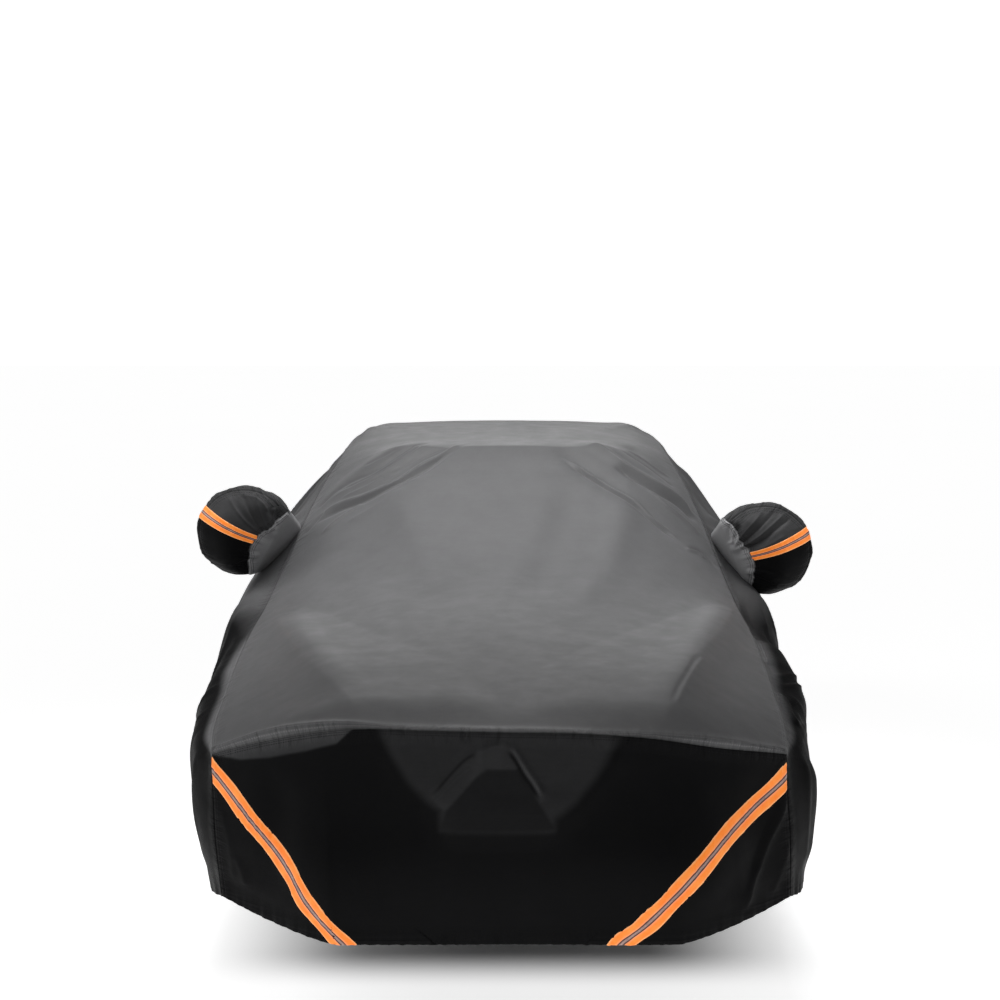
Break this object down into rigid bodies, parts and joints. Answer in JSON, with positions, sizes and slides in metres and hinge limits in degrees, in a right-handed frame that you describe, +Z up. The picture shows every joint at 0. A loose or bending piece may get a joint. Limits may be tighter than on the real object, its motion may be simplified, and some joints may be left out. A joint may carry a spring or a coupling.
{
  "type": "fitted car cover",
  "caption": "Fitted saloon car cover draped in its parked shape, grey top over black ends, with mirror pockets, a door zip and orange reflective tapes.",
  "frame": {"origin": "underside of the top panel at the middle of the roof, where the cover rests", "axes": "+X to the right of someone who faces the nose, +Y from the nose to the tail, +Z up"},
  "size_m": [2.0385, 4.898, 1.4512],
  "materials": {
    "top_cloth": "coated polyester, satin",
    "side_cloth": "coated polyester, satin",
    "black_cloth": "coated polyester, satin",
    "zip_tape": "woven zip tape with moulded teeth",
    "reflective_tape": "orange woven tape with a grey reflective stripe",
    "webbing": "black webbing",
    "black_plastic": "moulded black plastic",
    "tie_cord": "thin braided tie"
  },
  "bodies": {
    "root": {"top_panel": "top_cloth", "side_panel_left": "side_cloth", "side_panel_right": "side_cloth", "door_zip": "zip_tape", "front_panel": "black_cloth", "rear_panel": "black_cloth", "front_tape_left": "reflective_tape", "front_tape_right": "reflective_tape", "mirror_pocket_upper_left": "side_cloth", "mirror_pocket_upper_right": "side_cloth", "mirror_pocket_lower_left": "black_cloth", "mirror_pocket_lower_right": "black_cloth", "pocket_tape_left": "reflective_tape", "pocket_tape_right": "reflective_tape", "side_strap": "webbing", "strap_buckle": "black_plastic", "rear_tie": "tie_cord"}
  },
  "joints": []
}
